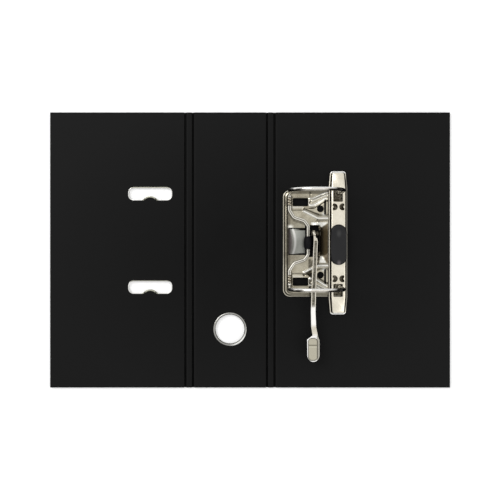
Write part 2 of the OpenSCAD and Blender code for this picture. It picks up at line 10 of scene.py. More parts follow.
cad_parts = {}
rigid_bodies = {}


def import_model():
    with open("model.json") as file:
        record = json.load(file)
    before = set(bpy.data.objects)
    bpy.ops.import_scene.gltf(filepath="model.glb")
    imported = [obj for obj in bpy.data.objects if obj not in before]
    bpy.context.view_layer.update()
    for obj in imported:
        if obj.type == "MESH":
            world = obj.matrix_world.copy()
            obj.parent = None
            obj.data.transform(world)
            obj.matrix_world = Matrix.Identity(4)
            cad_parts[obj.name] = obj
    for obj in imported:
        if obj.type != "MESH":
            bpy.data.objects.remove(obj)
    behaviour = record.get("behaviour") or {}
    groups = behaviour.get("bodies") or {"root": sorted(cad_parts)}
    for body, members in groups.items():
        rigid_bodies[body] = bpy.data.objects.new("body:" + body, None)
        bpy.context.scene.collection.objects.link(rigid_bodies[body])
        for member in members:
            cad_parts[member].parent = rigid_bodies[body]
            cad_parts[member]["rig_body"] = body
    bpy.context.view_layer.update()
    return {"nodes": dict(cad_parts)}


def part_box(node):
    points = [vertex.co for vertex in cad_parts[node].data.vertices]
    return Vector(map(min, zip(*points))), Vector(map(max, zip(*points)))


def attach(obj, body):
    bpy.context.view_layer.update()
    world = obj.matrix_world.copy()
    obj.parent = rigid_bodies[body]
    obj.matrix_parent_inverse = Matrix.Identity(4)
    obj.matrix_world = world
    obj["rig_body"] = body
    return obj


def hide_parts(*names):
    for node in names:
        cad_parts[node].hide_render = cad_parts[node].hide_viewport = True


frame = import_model()
mm = 0.001


# The room: a sheet of white background paper, a white surround, two soft lamps and a camera
# that looks straight down. The surround lights the file evenly, and the lamps add form.
# Lengths are in metres, and a number times mm is in millimetres.
def linear(code):
    """An sRGB hex colour as linear red, green, blue and alpha."""
    parts = [int(code[at:at + 2], 16) / 255 for at in (1, 3, 5)]
    return [p / 12.92 if p <= 0.04045 else ((p + 0.055) / 1.055) ** 2.4 for p in parts] + [1]


def feed(node, sockets):
    """Gives each socket a value, or a link from another node or from one of its outputs."""
    for name, value in sockets.items():
        if isinstance(value, bpy.types.Node):
            value = next(out for out in value.outputs if out.enabled)
        if isinstance(value, bpy.types.NodeSocket):
            node.id_data.links.new(value, node.inputs[name])
        else:
            node.inputs[name].default_value = value


def add_node(tree, kind, sockets={}, **settings):
    """Adds a node with its settings, and feeds its sockets."""
    made = tree.nodes.new("ShaderNode" + kind)
    for name, value in settings.items():
        setattr(made, name, value)
    feed(made, sockets)
    return made


world = bpy.data.worlds.new("white surround")
bpy.context.scene.world = world
world.use_nodes = True
tree = world.node_tree
tree.nodes.clear()
path = add_node(tree, "LightPath")
mirrored = add_node(tree, "Math", {0: path.outputs["Is Glossy Ray"],
                                   1: path.outputs["Is Transmission Ray"]}, operation="MAXIMUM")
parts = add_node(tree, "SeparateXYZ", {0: add_node(tree, "TexCoord").outputs["Generated"]})
graded = add_node(tree, "MapRange", {"Value": parts.outputs["Z"], "From Min": 0.35, "To Min": 0.4,
                                     "To Max": 1.0}, interpolation_type="SMOOTHSTEP")
bounced = add_node(tree, "Mix", {"Factor": mirrored, "A": 0.56, "B": graded})
strength = add_node(tree, "Mix", {"Factor": path.outputs["Is Camera Ray"], "A": bounced, "B": 1.0})
surround = add_node(tree, "Background", {"Color": linear("#FFFFFF"), "Strength": strength})
add_node(tree, "OutputWorld", {"Surface": surround})

for name, place, side, watts in (("key lamp", (-0.75, 0.65, 1.15), 0.9, 9.5),
                                 ("fill lamp", (0.9, -0.5, 0.9), 0.9, 3.6)):
    lamp = bpy.data.lights.new(name, "AREA")
    lamp.size, lamp.energy = side, watts
    holder = bpy.data.objects.new(name, lamp)
    bpy.context.scene.collection.objects.link(holder)
    holder.location = place
    holder.rotation_euler = (-Vector(place)).to_track_quat("-Z", "Y").to_euler()

camera = bpy.data.objects.new("camera", bpy.data.cameras.new("camera"))
bpy.context.scene.collection.objects.link(camera)
camera.location = (0.0172, 0, 0.8106)
camera.data.sensor_width = 36
camera.data.lens = 67.84
bpy.context.scene.camera = camera
bpy.context.scene.view_settings.view_transform = "Standard"


def new_piece(name, shape):
    """Makes an object from a bmesh, with its place in its mesh."""
    mesh = bpy.data.meshes.new(name)
    shape.to_mesh(mesh)
    shape.free()
    made = bpy.data.objects.new(name, mesh)
    bpy.context.scene.collection.objects.link(made)
    return made


def new_material(name):
    """A material with its tree, its shader and its coordinates in millimetres."""
    made = bpy.data.materials.new(name)
    made.use_nodes = True
    tree = made.node_tree
    place = add_node(tree, "TexCoord")
    scaled = add_node(tree, "Mapping", {"Vector": place.outputs["Object"],
                                        "Scale": (1000, 1000, 1000)})
    return made, tree, tree.nodes["Principled BSDF"], scaled


paper, tree, shader, at_mm = new_material("matt white background paper")
feed(shader, {"Base Color": linear("#FBFBFB"), "Roughness": 0.9, "Specular IOR Level": 0})
path = add_node(tree, "LightPath")
glow = add_node(tree, "Math", {0: path.outputs["Is Camera Ray"], 1: 0.3}, operation="MULTIPLY")
feed(shader, {"Emission Color": linear("#FFFFFF"), "Emission Strength": glow})
shape = bmesh.new()
bmesh.ops.create_grid(shape, x_segments=1, y_segments=1, size=4)
bmesh.ops.translate(shape, verts=shape.verts, vec=(0, 0, -0.3 * mm))
floor = new_piece("floor", shape)
floor.data.materials.append(paper)


# The covers: greyboard wrapped in black leather-grain covering paper, with a smoother black
# paper pasted on the inside. The board's edges are rounded a little by the wrapping.
def rounded_copy(node, name, radius, segments=3, least=30):
    """A copy of a CAD node with its flats made whole and its sharp edges rounded."""
    shape = bmesh.new()
    shape.from_mesh(frame["nodes"][node].data)
    bmesh.ops.remove_doubles(shape, verts=shape.verts, dist=0.001 * mm)
    bmesh.ops.dissolve_limit(shape, angle_limit=radians(0.5), verts=shape.verts,
                             edges=shape.edges)
    made = new_piece(name, shape)
    made.data.shade_smooth()
    edge = made.modifiers.new("rounded edges", "BEVEL")
    edge.width, edge.segments = radius, segments
    edge.limit_method, edge.angle_limit = "ANGLE", radians(least)
    edge.harden_normals = True
    edge.profile = 0.5
    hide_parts(node)
    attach(made, frame["nodes"][node]["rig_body"])
    return made


def grained(name, colour, paler_tone, grain, depth, rough):
    """Black embossed paper: a pebbled grain of one size, a little paler where it is rubbed."""
    made, tree, shader, at_mm = new_material(name)
    pebble = add_node(tree, "TexVoronoi", {"Vector": at_mm, "Scale": 1 / grain, "Randomness": 1.0},
                      feature="SMOOTH_F1")
    fibre = add_node(tree, "TexNoise", {"Vector": at_mm, "Scale": 3 / grain, "Detail": 3.0})
    cloud = add_node(tree, "TexNoise", {"Vector": at_mm, "Scale": 1 / 45, "Detail": 4.0,
                                        "Roughness": 0.6})
    height = add_node(tree, "Math", {0: pebble.outputs["Distance"], 1: fibre}, operation="ADD")
    shade = add_node(tree, "MapRange", {"Value": cloud, "From Min": 0.3, "From Max": 0.75})
    tone = add_node(tree, "Mix", {"Factor": shade, "A": linear(colour), "B": linear(paler_tone)},
                    data_type="RGBA")
    bump = add_node(tree, "Bump", {"Height": height, "Strength": 0.35, "Distance": depth * mm})
    gloss = add_node(tree, "MapRange", {"Value": fibre, "To Min": rough - 0.08,
                                        "To Max": rough + 0.08})
    feed(shader, {"Base Color": tone, "Roughness": gloss, "Normal": bump,
                  "Specular IOR Level": 0.105})
    return made


def tint(finish, factor, colour, matte=0):
    """Lays a second tone over a finish where factor is 1. A matte share of it scatters light."""
    tree = finish.node_tree
    shader = tree.nodes["Principled BSDF"]
    if matte:
        bare = add_node(tree, "MapRange", {"Value": factor, "To Min": 1.0, "To Max": 1 - matte})
        held = shader.inputs["Metallic"]
        if held.links:
            bare = add_node(tree, "Math", {0: bare, 1: held.links[0].from_socket},
                            operation="MULTIPLY")
        feed(shader, {"Metallic": bare})
    over = add_node(tree, "Mix", {"Factor": factor, "B": linear(colour),
                                  "A": shader.inputs["Base Color"].links[0].from_socket},
                    data_type="RGBA")
    feed(shader, {"Base Color": over})


def dress(piece, finish):
    """Gives a piece its finish."""
    piece.data.materials.clear()
    piece.data.materials.append(finish)


def distance_from(tree, value, centre):
    """How far a value lies from a centre."""
    off = add_node(tree, "Math", {0: value, 1: centre}, operation="SUBTRACT")
    return add_node(tree, "Math", {0: off}, operation="ABSOLUTE")


covering = grained("leather-grain covering paper", "#050505", "#0B0B0B", 0.9, 0.05, 0.5)
lining = grained("embossed lining paper", "#020202", "#060606", 0.6, 0.03, 0.55)
tree = lining.node_tree
# Painted sheen: the lining is paler towards the file's outer edges.
reach = add_node(tree, "VectorMath", {0: tree.nodes["Mapping"], 1: (17, 0, 0)},
                 operation="SUBTRACT")
reach = add_node(tree, "VectorMath", {0: reach, 1: (1 / 171, 1 / 118, 0)}, operation="MULTIPLY")
reach = add_node(tree, "VectorMath", {0: reach}, operation="LENGTH")
painted_edge_sheen = add_node(tree, "MapRange", {"Value": reach, "From Min": 0.2, "From Max": 1.1})
tint(lining, painted_edge_sheen, "#101010")
# Beside each crease, a painted highlight where the lining's folded edge would catch the light.
parts = add_node(tree, "SeparateXYZ", {0: tree.nodes["Mapping"]})
for crease in (-38.25, -31.75, 31.75, 38.25):
    off = distance_from(tree, parts.outputs["X"], crease + 1.5)
    ridge = add_node(tree, "MapRange", {"Value": off, "From Min": 1.1, "From Max": 0.4,
                                        "To Max": 0.8})
    tint(lining, ridge, "#131313")
for panel in ("rear", "rear_hinge", "spine", "front_hinge", "front"):
    for layer, paper, radius in (("covering", covering, 0.25), ("lining", lining, 0.2)):
        piece = rounded_copy(panel + "_" + layer, panel + "_" + layer + "_paper", radius * mm)
        dress(piece, paper)
        # The panels' wide faces are flat, and only what the bevels add is shaded round.
        for face in piece.data.polygons:
            face.use_smooth = face.area < 1e-3


# Boards: 2 mm greyboard, one for each panel, cut from the sheet and wrapped in the papers.
# Black paper seals their edges in the folds, so grey would show on their flats alone.
def mottled(name, speck_mm, detail, dark, pale, rough, specular):
    """A plain material with a little unevenness in its tone."""
    made, tree, shader, at_mm = new_material(name)
    specks = add_node(tree, "TexNoise", {"Vector": at_mm, "Scale": 1 / speck_mm, "Detail": detail})
    tone = add_node(tree, "Mix", {"Factor": specks, "A": linear(dark), "B": linear(pale)},
                    data_type="RGBA")
    feed(shader, {"Base Color": tone, "Roughness": rough, "Specular IOR Level": specular})
    return made


greyboard = mottled("greyboard", 0.4, 5.0, "#5E5A54", "#7C776F", 0.8, 0.12)
tree = greyboard.node_tree
facing = add_node(tree, "SeparateXYZ", {0: add_node(tree, "TexCoord").outputs["Normal"]})
level = add_node(tree, "Math", {0: facing.outputs["Z"]}, operation="ABSOLUTE")
sealed = add_node(tree, "MapRange", {"Value": level, "From Min": 0.6, "From Max": 0.4})
tint(greyboard, sealed, "#060606")
for panel in ("rear", "rear_hinge", "spine", "front_hinge", "front"):
    board = frame["nodes"][panel + "_board"]
    board.data.materials.clear()
    board.data.materials.append(greyboard)


# Slot rims: two eyelets stamped from steel strip, nickel plated, and rolled over both faces of
# the front cover. The plating is bright and a little warm, and cloudy from its bath.
def nickel(name, colour, shade, rough, cloud_mm=7.0, pit_mm=0.35):
    """Nickel-plated steel, with a soft cloudiness and fine pits."""
    made, tree, shader, at_mm = new_material(name)
    cloud = add_node(tree, "TexNoise", {"Vector": at_mm, "Scale": 1 / cloud_mm, "Detail": 3.0,
                                        "Roughness": 0.55})
    pits = add_node(tree, "TexNoise", {"Vector": at_mm, "Scale": 1 / pit_mm, "Detail": 2.0})
    mix = add_node(tree, "Math", {0: cloud, 1: pits}, operation="ADD")
    level = add_node(tree, "MapRange", {"Value": mix, "From Min": 0.7, "From Max": 1.3})
    tone = add_node(tree, "Mix", {"Factor": level, "A": linear(shade), "B": linear(colour)},
                    data_type="RGBA")
    gloss = add_node(tree, "MapRange", {"Value": pits, "To Min": rough - 0.07,
                                        "To Max": rough + 0.07})
    bump = add_node(tree, "Bump", {"Height": mix, "Strength": 0.5, "Distance": 0.004 * mm})
    feed(shader, {"Base Color": tone, "Roughness": gloss, "Normal": bump, "Metallic": 1})
    return made


rim_low, rim_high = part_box("slot_eyelet_upper")
middle = (rim_low + rim_high) / 2 / mm
rim_nickel = nickel("nickel-plated eyelet steel", "#F4F3F0", "#DAD9D5", 0.2)
tree = rim_nickel.node_tree
parts = add_node(tree, "SeparateXYZ", {0: tree.nodes["Mapping"]})
# Both rims share one pattern: over is a place's height above the middle of its own slot,
# plus half the slots' spacing.
spacing = 80.0
over = add_node(tree, "Math", {0: parts.outputs["Y"], 1: middle.y - spacing / 2},
                operation="SUBTRACT")
over = add_node(tree, "Math", {0: over, 1: spacing}, operation="FLOORED_MODULO")
# Painted shade: a grey band along each rim's top edge, a greyer tone round the tongue's arc, and
# darker spots at the arc's two ends.
painted_top_shade = add_node(tree, "MapRange", {"Value": over, "From Min": 44.2, "From Max": 45, "To Max": 1.0})
tint(rim_nickel, painted_top_shade, "#8E8D82")
aside = add_node(tree, "Math", {0: parts.outputs["X"], 1: middle.x}, operation="SUBTRACT")
flat = add_node(tree, "CombineXYZ", {"X": aside, "Y": over})
off = add_node(tree, "VectorMath", {0: flat, 1: (0, 32.0, 0)}, operation="DISTANCE")
tongue = add_node(tree, "MapRange", {"Value": off, "From Min": 7.6, "From Max": 7.2,
                                     "To Max": 0.9})
tint(rim_nickel, tongue, "#A3A291")
painted_hook_shade = add_node(tree, "Math", {0: aside}, operation="ABSOLUTE")
painted_hook_shade = distance_from(tree, painted_hook_shade, 4.9)
painted_hook_shade = add_node(tree, "MapRange", {"Value": painted_hook_shade, "From Min": 1.0, "From Max": 0.3})
painted_hook_shade = add_node(tree, "Math", {0: painted_hook_shade, 1: tongue}, operation="MULTIPLY")
tint(rim_nickel, painted_hook_shade, "#3B3A30")
# The flange's outer edge moves in, square to itself on the sides and round the corners.
corner_r, narrower = 6, 0.45
for place in ("upper", "lower"):
    rim = rounded_copy("slot_eyelet_" + place, "slot_rim_" + place, 0.15 * mm)
    low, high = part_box("slot_eyelet_" + place)
    centre, half = (low + high) / 2 / mm, (high - low) / 2 / mm
    for vert in rim.data.vertices:
        spot = vert.co / mm - centre
        past = Vector((max(abs(spot.x) - half.x + corner_r, 0) * (1 if spot.x > 0 else -1),
                       max(abs(spot.y) - half.y + corner_r, 0) * (1 if spot.y > 0 else -1), 0))
        if past.length > 5.2:
            vert.co -= past.normalized() * narrower * mm
    dress(rim, rim_nickel)

# Finger ring: a drawn tube with a rolled lip inside, and a washer let into the outer face. The
# lip's inner turn has a painted shade line, and its lower right a painted highlight.
ring_low, ring_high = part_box("finger_ring")
middle = (ring_low + ring_high) / 2 / mm
ring_nickel = nickel("nickel-plated ring steel", "#B9B8B4", "#94938E", 0.2)
tree = ring_nickel.node_tree
away = add_node(tree, "VectorMath", {0: tree.nodes["Mapping"], 1: (middle.x, middle.y, 0)},
                operation="SUBTRACT")
away = add_node(tree, "VectorMath", {0: away, 1: (1, 1, 0)}, operation="MULTIPLY")
reach = add_node(tree, "VectorMath", {0: away}, operation="LENGTH")
bore = (ring_high.x - ring_low.x) / 2 / mm
turned = add_node(tree, "MapRange", {"Value": reach, "From Min": bore - 1.1,
                                     "From Max": bore - 1.5, "To Max": 0.8})
tint(ring_nickel, turned, "#6C6B64")
aim = add_node(tree, "VectorMath", {0: away}, operation="NORMALIZE")
aim = add_node(tree, "VectorMath", {0: aim, 1: (0.6, -0.8, 0)}, operation="DOT_PRODUCT")
painted_light_side = add_node(tree, "MapRange", {"Value": aim, "From Min": 0.78, "From Max": 0.97})
outer = add_node(tree, "MapRange", {"Value": reach, "From Min": bore - 1.3,
                                    "From Max": bore - 1.0})
painted_light_side = add_node(tree, "Math", {0: painted_light_side, 1: outer}, operation="MULTIPLY")
tint(ring_nickel, painted_light_side, "#FFFFFC", matte=0.7)
dress(rounded_copy("finger_ring", "finger_ring_rolled", 0.1 * mm, least=60), ring_nickel)
dress(rounded_copy("finger_ring_washer", "finger_ring_back", 0.15 * mm), ring_nickel)

# Base plate: steel sheet 0.8 mm thick, blanked, pressed over a tool and nickel plated. Its rim
# lies on the cover, ribs stiffen the raised deck, a triangular well is sunk round each rivet,
# and a flange for the lever stands out of it on a wide concave root.
plate_low, plate_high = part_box("base_plate")
# Places on it are u across from its left rim and v along it from the middle of the arches, in
# millimetres. Its own middle is centre_v, and its ribs are mirrored at mirror_v. Each arch is
# arch_v from the middle, and the wire's hinge runs are hinge_w above the cover.
span, run, edge_r, sheet = 52.9, 91.3, 6.0, 0.8
centre_v, mirror_v = -2.45, -1.3
arch_v, post_u, hinge_u, hinge_w = 40, 47, 5.3, 6
seat = Vector((plate_low.x, (plate_low.y + plate_high.y) / 2 - centre_v * mm, plate_low.z))


def step(distance, start, end):
    """Rises smoothly from 0 at start to 1 at end."""
    t = np.clip((distance - start) / (end - start), 0, 1)
    return t * t * (3 - 2 * t)


def off_line(u, v, points):
    """How far each place lies from a broken line."""
    best = np.full(len(u), 1e9)
    for (u0, v0), (u1, v1) in zip(points, points[1:]):
        du, dv = u1 - u0, v1 - v0
        t = np.clip(((u - u0) * du + (v - v0) * dv) / (du * du + dv * dv), 0, 1)
        best = np.minimum(best, np.hypot(u - u0 - t * du, v - v0 - t * dv))
    return best


def within(u, v, points):
    """How far inside a closed outline each place lies, and 0 outside it."""
    inside = np.zeros(len(u), bool)
    ring = points + points[:1]
    for (u0, v0), (u1, v1) in zip(ring, ring[1:]):
        if v0 != v1:
            inside ^= ((v0 > v) != (v1 > v)) & (u < (u1 - u0) * (v - v0) / (v1 - v0) + u0)
    return np.where(inside, off_line(u, v, ring), 0)


def pressed(u, v):
    """The height of the sheet's upper face, and where painted highlights, painted shade and a
    painted brown reflection lie on it.
    """
    # The rim steps up from the cover to the deck, and eases down at the left side's middle.
    from_end = np.minimum(v - centre_v + run / 2, run / 2 + centre_v - v)
    corner = edge_r - np.hypot(np.maximum(edge_r - u, 0), np.maximum(edge_r - from_end, 0))
    from_rim = np.where((u < edge_r) & (from_end < edge_r), corner, np.minimum(u, from_end))
    rim = sheet + 1.6 * step(from_rim, 0.75, 1.45) + 0.3 * step(from_rim, 1.6, 3) \
        + 1.5 * step(from_rim, 3, 3.8)
    eased = step(u, 3, 9) * step(-from_end, -edge_r - 1, -edge_r)
    high = rim * (1 - eased) + (1.4 + 2.8 * step(from_end, -1, 4.5)) * eased
    side = np.abs(v - mirror_v) + mirror_v
    painted_highlight, painted_shade = np.zeros(len(u)), np.zeros(len(u))
    # Ribs, alike at both ends, each with a painted highlight along its top: each along a line,
    # with its rise and half its breadth.
    for points, rise, half in (
        ([(22.8, 35.6), (25.2, 35.7), (30.5, 38.2), (35.2, 40.4), (38, 41)], 0.6, 0.5),
        ([(24.6, 33.6), (30.5, 36.1), (36.2, 38.6), (38, 39)], 0.5, 0.42),
        ([(23, 29.9), (26.2, 30.1), (29.7, 32), (34.7, 35.2), (36.6, 36)], 0.65, 0.8),
        ([(17.7, 24.8), (25.7, 20.9), (29.4, 18.9), (38.2, 18.9)], 0.8, 0.85),
        ([(8, 28.2), (16.5, 28.2)], 0.25, 0.7), ([(21.9, 35.5), (21.9, 30.4)], 0.25, 0.45),
    ):
        ridge = np.exp(-(off_line(u, side, points) / half) ** 2)
        high, painted_highlight = high + rise * ridge, np.maximum(painted_highlight, min(1, 1.5 * rise) * ridge)
    # Creases and dents, alike at both ends, with painted shade along them.
    for points, depth, half in (
        ([(7.8, 25.8), (16.3, 25.8)], 0.3, 0.45), ([(17.3, 26.4), (18.1, 27.1)], 0.9, 0.65),
        ([(23, 32.9), (23, 32.4)], 0.8, 0.6), ([(28.9, 17.2), (29.1, 17.1)], 0.6, 0.6),
        ([(18.5, 26.8), (30.9, 22.5)], 0.3, 0.4), ([(29, 17.1), (38, 17.1)], 0.2, 0.4),
        ([(23.1, 41.3), (23.1, 37.4)], 0.3, 0.7), ([(25.6, 34.8), (36.4, 39.4)], 0.2, 0.4),
        ([(7.4, 37.5), (7.4, 26)], 0.1, 0.8), ([(8, 36.4), (21, 36.4)], 0.1, 0.3),
    ):
        crease = np.exp(-(off_line(u, side, points) / half) ** 2)
        high, painted_shade = high - depth * crease, np.maximum(painted_shade, 0.9 * crease)
    # The well round each rivet, and the root of the lever's flange.
    well = within(u, side, [(17.6, 26.6), (23.5, 28.6), (26.5, 29), (30.2, 31), (35, 34.2),
                            (42, 37), (42, 20.4), (29.8, 20.4), (25.9, 22.2)])
    high = high - 1.5 * step(well, 0, 2.6)
    root = np.where(u > 29.6, np.clip(1 - (u - 29.9) / 8.1, 0, 1) ** 1.45,
                    0.45 * step(u, 23.5, 29.6))
    from_foot = np.clip(np.minimum(17.8 - v, v + 18.7) / 9.5, 0, 1)
    high = high + 9.86 * root * from_foot ** 1.8
    # Painted highlights: the lever's seat, the flange's lower end, two spots and the rim.
    for points in ([(23.6, 15.7), (23.6, 12.9), (30.5, 12.6), (32, 10.6), (35, 12.4), (38.1, 15),
                    (38.1, 15.7)], [(31, -13.2), (33.6, -13.2), (37, -19.3), (31, -19.3)]):
        painted_highlight = np.maximum(painted_highlight, step(within(u, v, points), 0, 0.7))
    painted_highlight = np.maximum(painted_highlight, np.exp(-np.hypot((u - 6.3) / 1.8, (v - 11.8) / 1.2) ** 2))
    painted_highlight = np.maximum(painted_highlight, 0.8 * np.exp(-(np.hypot(u - 34.7, side - 22.3) / 1.4) ** 2))
    painted_highlight = np.maximum(painted_highlight, 0.2 * np.exp(-((from_rim - 0.35) / 0.3) ** 2))
    painted_shade = np.maximum(painted_shade, np.exp(-((from_rim - 1.35) / 0.62) ** 4) * (1 - eased))
    strip = step(from_rim, 3, 3.6) * step(from_rim, 6.6, 5.8) * (1 - eased)
    painted_shade = np.maximum(painted_shade, 0.6 * strip)
    # Painted shade: the foot of the rim, the strips between the ribs, then painted shadows of the
    # wire and the lever and painted shade along other lines, each with half its breadth and its
    # strength.
    for points, half, mark in (
        ([(4.4, 27.4), (5.2, 21.7), (9.6, 16.7), (17.7, 14.3), (20.5, 12.2)], 1.1, 0.75),
        ([(4.4, -30), (5.6, -23.5), (9, -20.2), (17, -18), (20.5, -15)], 1.0, 0.55),
        ([(22.7, -17), (22.9, -29), (23.5, -41)], 1.5, 0.85),
        ([(30.3, -14), (29.8, -22)], 0.6, 1), ([(2.6, 41.6), (4.6, 42.6)], 1.8, 1),
        ([(4.1, 37), (4.1, -39)], 0.45, 1), ([(7.1, -27), (7.1, -37)], 0.5, 0.9),
        ([(2, 38), (2.4, 30)], 0.8, 0.8),
    ):
        painted_streak = np.exp(-(off_line(u, v, points) / half) ** 4)
        painted_shade = np.maximum(painted_shade, mark * painted_streak)
    # Painted shade over the deck's middle, left of the flange.
    painted_shade = np.maximum(painted_shade, 0.35 * step(np.abs(v - mirror_v), 24, 15) * step(u, 30, 12))
    # Painted shade under the lever and the bar, and a painted brown reflection on the flange under
    # the lever, stronger to the right.
    under_lever = step(within(u, v, [(30, 9), (32, 10.2), (38.5, 14.8), (38.5, -19.7),
                                     (37.2, -19.4), (33.8, -13.2), (30, -13.2)]), 0, 0.6)
    painted_shade = np.maximum(painted_shade, np.maximum(under_lever, step(u, 38.9, 39.7)))
    painted_reflection = under_lever * (0.12 + 0.88 * step(u, 30.8, 37)) * step(u, 38.6, 38)
    return (high - (high - sheet) * step(u, 38.1, 39.3), painted_highlight, painted_shade * (1 - painted_highlight),
            painted_reflection * (1 - painted_highlight))


def places_of(piece):
    """The places of a piece's vertices, one in each row."""
    spots = np.zeros(len(piece.data.vertices) * 3)
    piece.data.vertices.foreach_get("co", spots)
    return spots.reshape(-1, 3)


def prism(shape, low, high, corner, segments=6):
    """Adds an upright block with round corners to a bmesh."""
    made = bmesh.ops.create_cube(shape, size=1)["verts"]
    size = (high[0] - low[0], high[1] - low[1], 40)
    bmesh.ops.scale(shape, verts=made, vec=size)
    bmesh.ops.translate(shape, verts=made, vec=((low[0] + high[0]) / 2, (low[1] + high[1]) / 2, 0))
    upright = {e for v in made for e in v.link_edges
               if abs(e.verts[0].co.z - e.verts[1].co.z) > 1}
    bmesh.ops.bevel(shape, geom=list(upright), offset=corner, segments=segments, profile=0.5,
                    affect="EDGES", material=-1)


def cut_with(piece, cutter, operation="DIFFERENCE"):
    """Cuts a piece with a bmesh of closed blocks."""
    tool = new_piece("cutter", cutter)
    cut = piece.modifiers.new("cut", "BOOLEAN")
    cut.object, cut.operation, cut.solver = tool, operation, "MANIFOLD"
    depsgraph = bpy.context.evaluated_depsgraph_get()
    whole = bpy.data.meshes.new_from_object(piece.evaluated_get(depsgraph))
    piece.modifiers.clear()
    piece.data = whole
    bpy.data.objects.remove(tool)


def smooth(piece, sharp):
    """Shades a piece smoothly, but not across edges of more than sharp degrees."""
    piece.data.shade_smooth()
    piece.data.set_sharp_from_angle(angle=radians(sharp))


shape = bmesh.new()
bmesh.ops.create_grid(shape, x_segments=126, y_segments=218, size=0.5)
bmesh.ops.scale(shape, verts=shape.verts, vec=(span, run, 1))
bmesh.ops.translate(shape, verts=shape.verts, vec=(span / 2, centre_v, 0))
plate = new_piece("base_plate_pressed", shape)
spots = places_of(plate)
spots[:, 2] = pressed(*spots.T[:2])[0]
plate.data.vertices.foreach_set("co", spots.ravel())
wall = plate.modifiers.new("sheet", "SOLIDIFY")
wall.thickness, wall.offset = sheet, -1
blank = bmesh.new()
prism(blank, (0, centre_v - run / 2), (span, centre_v + run / 2), edge_r, 14)
cut_with(plate, blank, "INTERSECT")
# Windows: the spring's, one beside each loop, the slits and holes of the rivets, and the
# slots beside the collars.
windows = bmesh.new()
prism(windows, (4.3, -12.5), (19, 10.7), 0.6)
for v in (32.6, -35.2):
    prism(windows, (8.1, v - 3.5), (21.4, v + 3.5), 1)
for v in (28.2, -30.9):
    prism(windows, (35, v - 6.3), (36.75, v + 6.3), 0.85)
rivet_r = 2.95
for v in (27, -29.6):
    prism(windows, (28.9, v - rivet_r), (34.8, v + rivet_r), rivet_r - 0.001, 16)
for v in (arch_v, -arch_v):
    for u in (40.8, 50.6):
        prism(windows, (u, v - 5.6 - v / 20), (u + 2.2, v + 3.4 - v / 20), 0.6)
cut_with(plate, windows)
# The crank's opening overlaps the spring's window, so it is cut on its own.
opening = bmesh.new()
prism(opening, (18.5, -14.2), (29.9, 13.1), 0.8)
cut_with(plate, opening)
_, *marks = pressed(*places_of(plate).T[:2])
for name, mark in zip(("painted_highlight", "painted_shade", "painted_reflection"), marks):
    plate.data.attributes.new(name, "FLOAT", "POINT").data.foreach_set("value", mark)
plate.data.transform(Matrix.Translation(seat) @ Matrix.Scale(mm, 4))
smooth(plate, 50)
plate_nickel = nickel("nickel-plated stamped steel", "#C9C3B0", "#8E8673", 0.16, cloud_mm=9.0)
tree = plate_nickel.node_tree
# Painted shade on steep slopes and in patches where pressed() marks it, a painted brown
# reflection, and painted highlights.
painted_shade_node = add_node(tree, "Attribute", attribute_name="painted_shade")
streaks = add_node(tree, "TexNoise", {"Vector": tree.nodes["Mapping"], "Scale": 1 / 1.8,
                                      "Detail": 3.0})
patchy = add_node(tree, "MapRange", {"Value": streaks, "From Min": 0.35, "From Max": 0.65,
                                     "To Min": 1.0, "To Max": 0.75})
painted_shade_patches = add_node(tree, "Math", {0: painted_shade_node.outputs["Fac"], 1: patchy}, operation="MULTIPLY")
facing = add_node(tree, "SeparateXYZ", {0: add_node(tree, "TexCoord").outputs["Normal"]})
painted_slope_shade = add_node(tree, "MapRange", {"Value": facing.outputs["Z"], "From Min": 0.8, "From Max": 0.5,
                                    "To Max": 0.85})
tint(plate_nickel, painted_slope_shade, "#3E3526")
tint(plate_nickel, painted_shade_patches, "#221C12")
painted_reflection_node = add_node(tree, "Attribute", attribute_name="painted_reflection")
painted_reflection_patches = add_node(tree, "Math", {0: painted_reflection_node.outputs["Fac"], 1: patchy}, operation="MULTIPLY")
tint(plate_nickel, painted_reflection_patches, "#6A5C42", matte=0.9)
painted_bright = add_node(tree, "Attribute", attribute_name="painted_highlight")
tint(plate_nickel, painted_bright.outputs["Fac"], "#FFFEF6", matte=0.7)
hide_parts("base_plate")
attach(plate, "rear_cover")
dress(plate, plate_nickel)


# Loops: two tubes with three raised rings each, rolled out of the plate's sheet. They hold the
# arch wire down and let it turn, and painted shade darkens the grooves between the rings.
def spun(points, axis):
    """Turns a line of points round an axis, to a closed shell."""
    shape = bmesh.new()
    ring = [shape.verts.new(place) for place in points]
    for one, other in zip(ring, ring[1:]):
        shape.edges.new((one, other))
    bmesh.ops.spin(shape, geom=shape.verts[:] + shape.edges[:], cent=(0, 0, 0), axis=axis,
                   angle=2 * pi, steps=40, use_merge=True)
    bmesh.ops.remove_doubles(shape, verts=shape.verts, dist=0.001)
    bmesh.ops.recalc_face_normals(shape, faces=shape.faces)
    return shape


loop_nickel = nickel("nickel-plated loop steel", "#AFA897", "#80786A", 0.16, cloud_mm=3.0)
groove = add_node(loop_nickel.node_tree, "Attribute", attribute_name="groove")
tint(loop_nickel, groove.outputs["Fac"], "#4A4232")
loop_l = 6.8
for side, name in ((1, "upper"), (-1, "lower")):
    shape = spun([(0, -loop_l / 2 + 0.2 * at, 1.98 + 0.42 * abs(np.sin(pi * at / 34 * 3)))
                  for at in range(35)], (0, 1, 0))
    bmesh.ops.scale(shape, verts=shape.verts, vec=(mm, mm, mm))
    bmesh.ops.translate(shape, verts=shape.verts,
                        vec=seat + Vector((hinge_u, side * 33, hinge_w)) * mm)
    loop = new_piece("wire_loop_" + name, shape)
    loop.data.shade_smooth()
    low = min(vert.co.y for vert in loop.data.vertices)
    cut = [1 - abs(np.sin((vert.co.y - low) / (loop_l * mm) * 3 * pi))
           for vert in loop.data.vertices]
    loop.data.attributes.new("groove", "FLOAT", "POINT").data.foreach_set("value", cut)
    wall = loop.modifiers.new("sheet", "SOLIDIFY")
    wall.thickness, wall.offset = 0.45 * mm, -1
    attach(loop, "rear_cover")
    dress(loop, loop_nickel)
